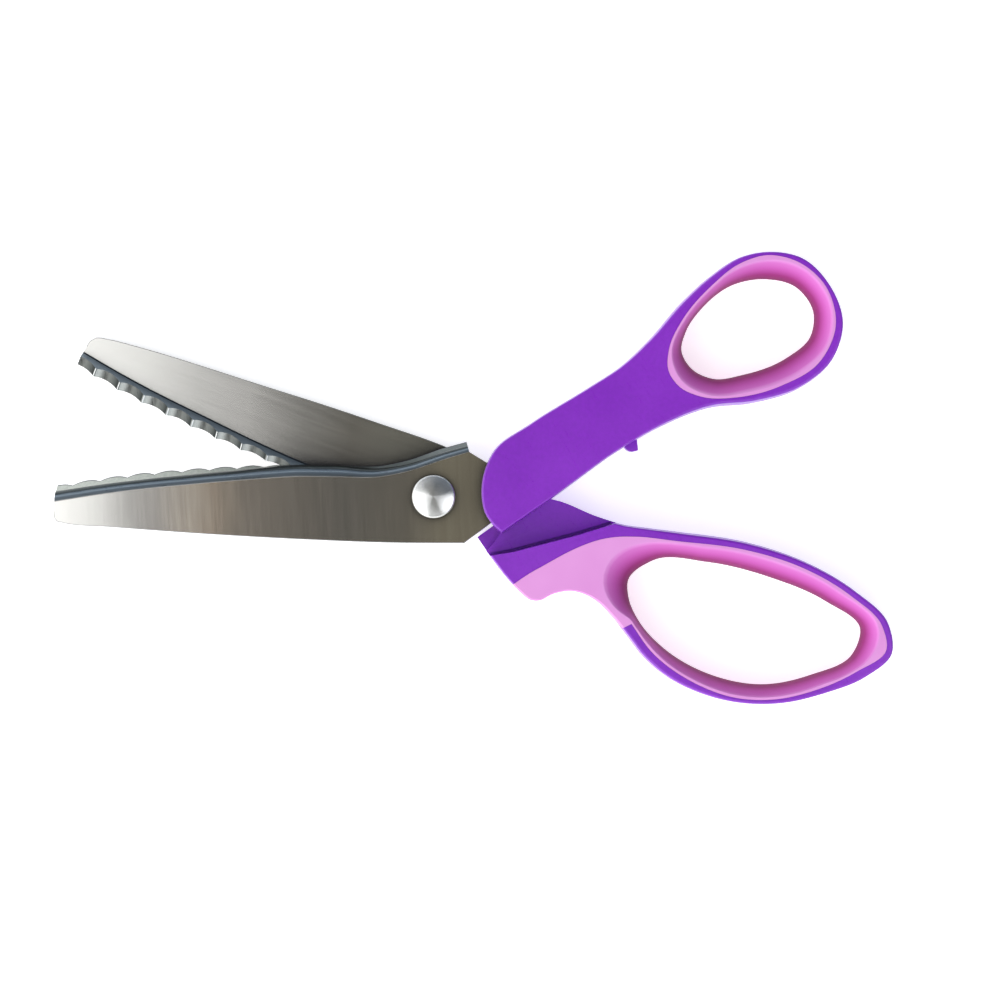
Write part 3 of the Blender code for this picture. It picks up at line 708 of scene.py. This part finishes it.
# The back blade's slope, the one in view, is a darker, bluer copy of the front's: painted reflection of the
# dim bluish room.
front_slope = ground_steel("front_slope_steel", (0.40, 0.45, 0.51), (0.30, 0.34, 0.39), (0.3, 2.5, 2.5))
back_slope = ground_steel("back_slope_steel", (0.24, 0.28, 0.31), (0.16, 0.19, 0.22), (0.3, 2.5, 2.5), 0.36)
# Painted reflection along each blade, bright at the tip and darker towards the heel, with the steel's warm
# tint.
FRONT_REFLECTION_TONES = [
    (-103, (0.58, 0.58, 0.57)), (-90, (0.50, 0.50, 0.49)), (-81, (0.37, 0.365, 0.355)),
    (-74, (0.40, 0.385, 0.37)), (-65, (0.58, 0.525, 0.46)), (-59, (0.54, 0.465, 0.39)),
    (-51, (0.43, 0.39, 0.345)), (-25, (0.34, 0.325, 0.30)), (-8, (0.40, 0.375, 0.33)),
    (3, (0.56, 0.515, 0.41)), (18, (0.56, 0.515, 0.41)),
]
BACK_REFLECTION_TONES = [
    (-103, (0.63, 0.63, 0.62)), (-77, (0.545, 0.545, 0.535)), (-63, (0.475, 0.475, 0.465)),
    (-50, (0.495, 0.49, 0.48)), (-36, (0.325, 0.32, 0.305)), (-22, (0.25, 0.24, 0.215)),
    (-12, (0.30, 0.295, 0.26)), (10, (0.33, 0.325, 0.28)),
]
BACK_SHADE = ((0.62, 1.0), (0.80, 0.45), (0.95, 0.0))  # painted shade, reaching further, under the front blade's fold
front_sheet = brushed_sheet("front_sheet_steel", 3, 0.15, FRONT_REFLECTION_TONES)
back_sheet = brushed_sheet("back_sheet_steel", 69, 0.20, BACK_REFLECTION_TONES, tilt=1.3, painted_shade=BACK_SHADE)
# The back blade's teeth, the ones in view, are a darker copy of the front's: painted shade.
front_teeth = tooth_steel("front_tooth_steel", (0.60, 0.60, 0.58), (0.36, 0.37, 0.36), (0.3, 0.3, 0.3))
back_teeth = tooth_steel("back_tooth_steel", (0.42, 0.44, 0.42), (0.14, 0.15, 0.15), (0.035, 0.04, 0.04))
blade("blade_front", "front_blade", "thumb_half", FRONT_EDGE, FRONT_SHEET, 1, False,
      [front_sheet, fold, ledge, front_teeth, front_slope, crease, rim])
blade("blade_back", "back_blade", "finger_half", BACK_EDGE, BACK_SHEET, -1, True,
      [back_sheet, fold, ledge, back_teeth, back_slope, crease, rim])


# ---------------------------------------------------------------- handles
SHANK_ROUND, BOW_ROUND = 0.35, 0.6  # rounding of the outer edges
SHANK_BARREL, BOW_BARREL = 0.4, 0.5  # how far the sides lean in towards the faces
SKIN = 0.15  # how far the finer outline stays inside the CAD model's
BOW_START, BOW_FULL = 50.0, 72.0


def blank(outline):
    """Handle before it is carved: barrel-shaped sides with a small rounded edge, fuller round the bow."""
    loop = offset(ring(outline, 1.2), -SKIN)
    outward = normals(loop)
    rounds, barrels = [], []
    for p in loop:
        t = min(1.0, max(0.0, (p.x - BOW_START) / (BOW_FULL - BOW_START)))
        share = t * t * (3 - 2 * t)
        rounds.append(SHANK_ROUND + (BOW_ROUND - SHANK_ROUND) * share)
        barrels.append(SHANK_BARREL + (BOW_BARREL - SHANK_BARREL) * share)

    def level(side, up, degrees):
        """Ring at a share of the way up the straight part of the side, or at an angle round the edge."""
        out, turn = [], math.radians(degrees)
        for p, n, r, barrel in zip(loop, outward, rounds, barrels):
            height = (MID - r) * up + r * math.sin(turn)
            inset = barrel * (height / MID) ** 2 + r * (1 - math.cos(turn))
            out.append((p.x - n.x * inset, p.y - n.y * inset, MID + side * height))
        return out

    steps = [(1, 90), (1, 70), (1, 50), (1, 30), (1, 12), (0.96, 0), (0.75, 0), (0.5, 0), (0.25, 0)]
    halves = [[level(side, up, degrees) for up, degrees in steps] for side in (-1, 1)]
    stack = halves[0] + [[(p.x, p.y, MID) for p in loop]] + halves[1][::-1]
    points = [place for row in stack for place in row]
    return mesh_of("blank", points, stack_faces(len(loop), len(stack)))


def flare_widths(loop, seam):
    """How far the hole widens at the faces, at each point round it."""
    edge = offset(seam, -0.5)
    room = [min((p - q).length for q in edge) for p in loop]
    roll = [min(ROLL_MOST, ROLL_SHARE * r) for r in room]
    for _ in range(30):
        roll = [(a + 2 * b + c) / 4 for a, b, c in zip(roll[-1:] + roll[:-1], roll, roll[1:] + roll[:1])]
        roll = [min(r, ROLL_CLEAR * free) for r, free in zip(roll, room)]
    return roll


def spool(loop, roll):
    """Finger hole cutter: narrow in the middle of the handle and flared at both faces."""
    outward = normals(loop)
    levels = []
    for step in range(-9, 10):
        turn = math.radians(10 * step)
        rise = math.sin(turn)
        wide = abs(rise) ** FLARE * (1 - FLARE_ROUND) + (1 - math.cos(turn)) * FLARE_ROUND
        levels.append(([p + n * r * wide for p, n, r in zip(loop, outward, roll)], MID + MID * rise))
    return loft("bow", [(levels[0][0], -1.0), *levels, (levels[-1][0], THICK + 1.0)])


def pad_line(loop, seam, roll, pad):
    """Outer side of the pad inside the handle: `pad` outside the hole, behind its flare, within the seam."""
    room = [min((p - q).length for q in seam) for p in loop]
    rise = (MID - PAD_DEEP) / MID
    reach = [max(pad, r * rise**FLARE + 0.8) for r in roll]
    return [p + n * min(far, r - 0.6) for p, n, far, r in zip(loop, normals(loop), reach, room)]


def tang_slot(sheet, flipped):
    """Room for a blade's tang in the handle that holds it."""
    loop = [Vector(row[:2]) for row in sheet if len(row) == 3][:-1]
    loop = [Vector((0, loop[0].y)), *loop, Vector((0, loop[-1].y))]
    low, high = INNER - 0.05, OUTER + 0.05
    if flipped:
        loop, low, high = [Vector((p.x, -p.y)) for p in loop], THICK - high, THICK - low
    return plate("tang_slot", offset(loop, 0.06), low, high)


def handle(half, outline, hole, seam, lap, lap_heights, pad, tang, looks, notch=None, nub=None, more=()):
    """One two-shot handle: a hard core that grips the tang, and the soft pad moulded round its bow."""
    hole_loop, seam_loop = ring(hole, 1.0), ring(seam, 1.2)
    roll = flare_widths(hole_loop, seam_loop)
    bow, bed = spool(hole_loop, roll), pad_line(hole_loop, seam_loop, roll, pad)
    cuts = [
        (bow, "DIFFERENCE"),
        (plate("lap", [Vector(p) for p in lap], *lap_heights), "DIFFERENCE"),
        (tang_slot(tang, half == "finger"), "DIFFERENCE"),
        (plate("face_pocket", seam_loop, THICK - PAD_DEEP, THICK + 2), "DIFFERENCE"),
        (plate("back_pocket", seam_loop, -2, PAD_DEEP), "DIFFERENCE"),
        (plate("bow_pocket", bed, -1.5, THICK + 1.5), "DIFFERENCE"),
    ]
    low, high = PAD_DEEP - SEAM_GAP, THICK - PAD_DEEP + SEAM_GAP
    web = plate("web", offset(seam_loop, 2.5), low, high, offset(bed, -SEAM_GAP))
    if notch:
        notch_loop = ring(notch, 1.2)
        cuts.append((plate("rim_pocket", notch_loop, PAD_DEEP - 0.1, high - SEAM_GAP + 0.1), "DIFFERENCE"))
        keep = plate("keep", offset(notch_loop, -SEAM_GAP), low - 3, high + 3)
        web = carved("web", web, [(keep, "DIFFERENCE")])
    if nub:
        cuts.append((plate("nub", [Vector(p) for p in nub], NUB_LOW, NUB_HIGH), "UNION"))
    cuts += [(cutter, "DIFFERENCE") for cutter in more]
    body, (hard, soft) = f"{half}_half", looks
    piece(f"{half}_shell", carved("shell", blank(outline), cuts), [hard], body, f"{half}_handle", flats=True)
    inside = plate("inside", offset(seam_loop, -SEAM_GAP), -2.5, THICK + 2.5)
    cuts = [(bow, "DIFFERENCE"), (inside, "INTERSECT"), (web, "DIFFERENCE")]
    piece(f"{half}_pad", carved("pad", blank(outline), cuts), [soft], body, f"{half}_grip", flats=True)


handle("thumb", THUMB_OUTLINE, THUMB_HOLE, THUMB_SEAM, THUMB_LAP, (-1.0, THUMB_LAP_FACE), 3.0, FRONT_SHEET,
       (hard_plastic("thumb_plastic"), soft_pad("thumb_elastomer", THUMB_HOLE)), nub=NUB)
handle("finger", FINGER_OUTLINE, FINGER_HOLE, FINGER_SEAM, FINGER_LAP, (FINGER_LAP_FACE, THICK + 1), 2.4,
       BACK_SHEET, (hard_plastic("finger_plastic"), soft_pad("finger_elastomer", FINGER_HOLE, -OPEN_DEG)),
       notch=NOTCH,
       more=[plate("lap_groove", [Vector(p) for p in LAP_GROOVE], GROOVE_FLOOR, THICK + 2),
             plate("heel_sweep", circle(HEEL_SWEEP, 240), SWEEP_FLOOR, THICK + 2)])


# ---------------------------------------------------------------- pivot
def turned(name, profile, closed=False, steps=128):
    """Round piece about the pivot axis from (radius, height) pairs that run down its outer side."""
    mesh = bpy.data.meshes.new(name)
    edges = [(i, i + 1) for i in range(len(profile) - 1)] + ([(len(profile) - 1, 0)] if closed else [])
    mesh.from_pydata([(r * MM, 0, z * MM) for r, z in profile], edges, [])
    obj = bpy.data.objects.new(name, mesh)
    bpy.context.scene.collection.objects.link(obj)
    screw = obj.modifiers.new("turn", "SCREW")
    screw.steps = screw.render_steps = steps
    screw.use_merge_vertices = True
    screw.merge_threshold = 1e-6
    made = bpy.data.meshes.new_from_object(obj.evaluated_get(bpy.context.evaluated_depsgraph_get()))
    bpy.data.objects.remove(obj)
    return made


HEAD_R, HEAD_TOP, HEAD_SEAT = 5.83, 14.6, 12.2
HEAD_FALL, HEAD_ROUND = 0.0266, 0.6  # how the dome falls with the radius squared, and its rounded rim
SHANK_R, THREAD_R, THREAD_TOP = 3.0, 2.5, 2.6


def low_dome():
    """Outline of the screw's head, from its middle out to the rounded rim and down its side."""
    flat = HEAD_R - HEAD_ROUND
    out = [(flat * i / 18, HEAD_TOP - HEAD_FALL * (flat * i / 18) ** 2) for i in range(19)]
    edge = out[-1][1] - HEAD_ROUND
    for degrees in (70, 50, 30, 15, 0):
        turn = math.radians(degrees)
        out.append((flat + HEAD_ROUND * math.cos(turn), edge + HEAD_ROUND * math.sin(turn)))
    return out


steel_head = turned_steel("head_steel", (0.72, 0.73, 0.74), 3.0, 0.215, aniso=0.95)
screw = low_dome() + [
    (HEAD_R, HEAD_SEAT + 0.1), (HEAD_R - 0.1, HEAD_SEAT), (SHANK_R, HEAD_SEAT), (SHANK_R, THREAD_TOP + 0.3),
    (THREAD_R, THREAD_TOP), (THREAD_R, 0.25), (THREAD_R - 0.25, 0), (0, 0),
]
piece("screw", turned("screw", screw), [steel_head], "thumb_half", "pivot_screw")

oiled = turned_steel("oiled_steel", (0.34, 0.34, 0.35), 6.0, 0.4)
spacer = [(6.6, 9.3), (6.6, 6.5), (6.5, 6.4), (BORE, 6.4), (BORE, 9.4), (6.5, 9.4)]
piece("spacer", turned("spacer", spacer, closed=True), [oiled], "thumb_half", "pivot_spacer")
nylon = [(6.8, 6.05), (6.8, 5.65), (6.75, 5.6), (BORE, 5.6), (BORE, 6.1), (6.75, 6.1)]
piece("nylon_washer", turned("nylon_washer", nylon, closed=True), [plain_nylon("nylon")],
      "finger_half", "friction_washer")
cone = [(5.6, 2.75), (5.6, 2.6), (5.55, 2.55), (BORE, 2.3), (BORE, 2.6), (5.5, 2.8)]
piece("cone_washer", turned("cone_washer", cone, closed=True), [oiled], "thumb_half", "spring_washer")
hexagon = carved("nut", plate("nut", circle(5.4, 6), 0.1, 2.0, circle(2.8, 64)), [
    (turned("nut_chamfer", [(0, 3.0), (5.4, 3.0), (5.4, 0.45), (4.75, -0.2), (0, -0.2)]), "INTERSECT")])
piece("nut", hexagon, [turned_steel("nut_steel", (0.62, 0.61, 0.58), 5.0, 0.3)], "thumb_half", "pivot_nut")


# ---------------------------------------------------------------- floor, light and camera
def floor(reach=60.0):
    """Plain pale floor, wide enough that its edge is never near."""
    mesh = bpy.data.meshes.new("floor")
    corners = [(x * reach, y * reach, 0) for x, y in ((-1, -1), (1, -1), (1, 1), (-1, 1))]
    mesh.from_pydata(corners, [], [(0, 1, 2, 3)])
    m = Material("floor_paper", Specular_IOR_Level=0.2, Emission_Color=(1, 1, 1, 1), Emission_Strength=0.66)
    cloud = m.noise((0.004, 0.004, 0.004), detail=2)
    m.set("Base Color", m.ramp(cloud, (0.3, (0.86, 0.86, 0.865)), (0.7, (0.88, 0.88, 0.885))))
    m.set("Roughness", m.ramp(cloud, (0.3, 0.8), (0.7, 0.9)))
    mesh.materials.append(m.material)
    obj = bpy.data.objects.new("floor", mesh)
    bpy.context.scene.collection.objects.link(obj)


def panel(name, place, size, power, colour=(1, 1, 1), target=(0, 0, 0), mirrored=True, lights=True):
    """Area light; `mirrored` lets glossy surfaces show it, and `lights` lets it light matt ones."""
    light = bpy.data.lights.new(name, "AREA")
    light.shape = "RECTANGLE"
    light.size, light.size_y = size
    light.energy = power
    light.color = colour
    obj = bpy.data.objects.new(name, light)
    obj.location = place
    obj.rotation_euler = (Vector(place) - Vector(target)).to_track_quat("Z", "Y").to_euler()
    obj.visible_camera, obj.visible_glossy, obj.visible_diffuse = False, mirrored, lights
    bpy.context.scene.collection.objects.link(obj)


floor()
panel("left_softbox", (-0.80, -0.55, 1.2), (1.06, 1.5), 8.6, (1.0, 0.995, 0.98), target=(-0.80, -0.55, 0),
      lights=False)
panel("overhead", (-0.25, -0.60, 1.15), (1.1, 1.1), 4.9, mirrored=False)
panel("right_softbox", (0.60, -0.29, 1.0), (0.7, 0.75), 3.5, lights=False)
panel("back_strip", (-0.05, 1.1, 0.78), (1.2, 0.05), 0.5, target=(-0.05, 0, 0))


def room():
    """Bright room to the left and front, dim and bluish behind, and dark overhead where flat steel looks."""
    world = bpy.data.worlds.new("room")
    bpy.context.scene.world = world
    world.use_nodes = True
    n = Nodes(world.node_tree)
    direction = n.new("TexCoord").outputs["Generated"]

    def level(towards, *stops):
        """Colours by how far a direction points towards another, 0 opposite to it and 1 along it."""
        dot, share = n.new("VectorMath", operation="DOT_PRODUCT"), n.new("MapRange")
        n.link(direction, dot.inputs[0])
        dot.inputs[1].default_value = towards
        share.inputs["From Min"].default_value = -1.0
        n.link(dot.outputs["Value"], share.inputs["Value"])
        return n.ramp(share.outputs["Result"], *stops)

    around = level(
        (-0.80, -0.60, 0), (0.22, (0.14, 0.17, 0.21)), (0.45, (0.55, 0.58, 0.61)), (0.72, (1.1, 1.1, 1.08)))
    overhead = level(
        (-0.94, -0.34, 0), (0.42, (0.04, 0.045, 0.055)), (0.49, (0.16, 0.155, 0.14)),
        (0.57, (0.20, 0.195, 0.185)), (0.62, (0.36, 0.36, 0.35)))
    up = level((0, 0, 1), (0.89, (0, 0, 0)), (0.96, (1, 1, 1)))
    background = n.tree.nodes["Background"]
    n.link(n.mix(up, around, overhead), background.inputs["Color"])
    background.inputs["Strength"].default_value = 1.45


room()
CAMERA_UP, FIELD, VIEW_CENTRE = 0.65, 0.271, (0.018, -0.0009)
camera = bpy.data.cameras.new("camera")
camera.sensor_width = 36
camera.lens = 36 * CAMERA_UP / FIELD
camera.clip_start, camera.clip_end = 0.01, 20
view = bpy.data.objects.new("camera", camera)
view.location = (*VIEW_CENTRE, OUTER * MM + CAMERA_UP)
bpy.context.scene.collection.objects.link(view)
bpy.context.scene.camera = view
bpy.context.scene.view_settings.view_transform = "Standard"
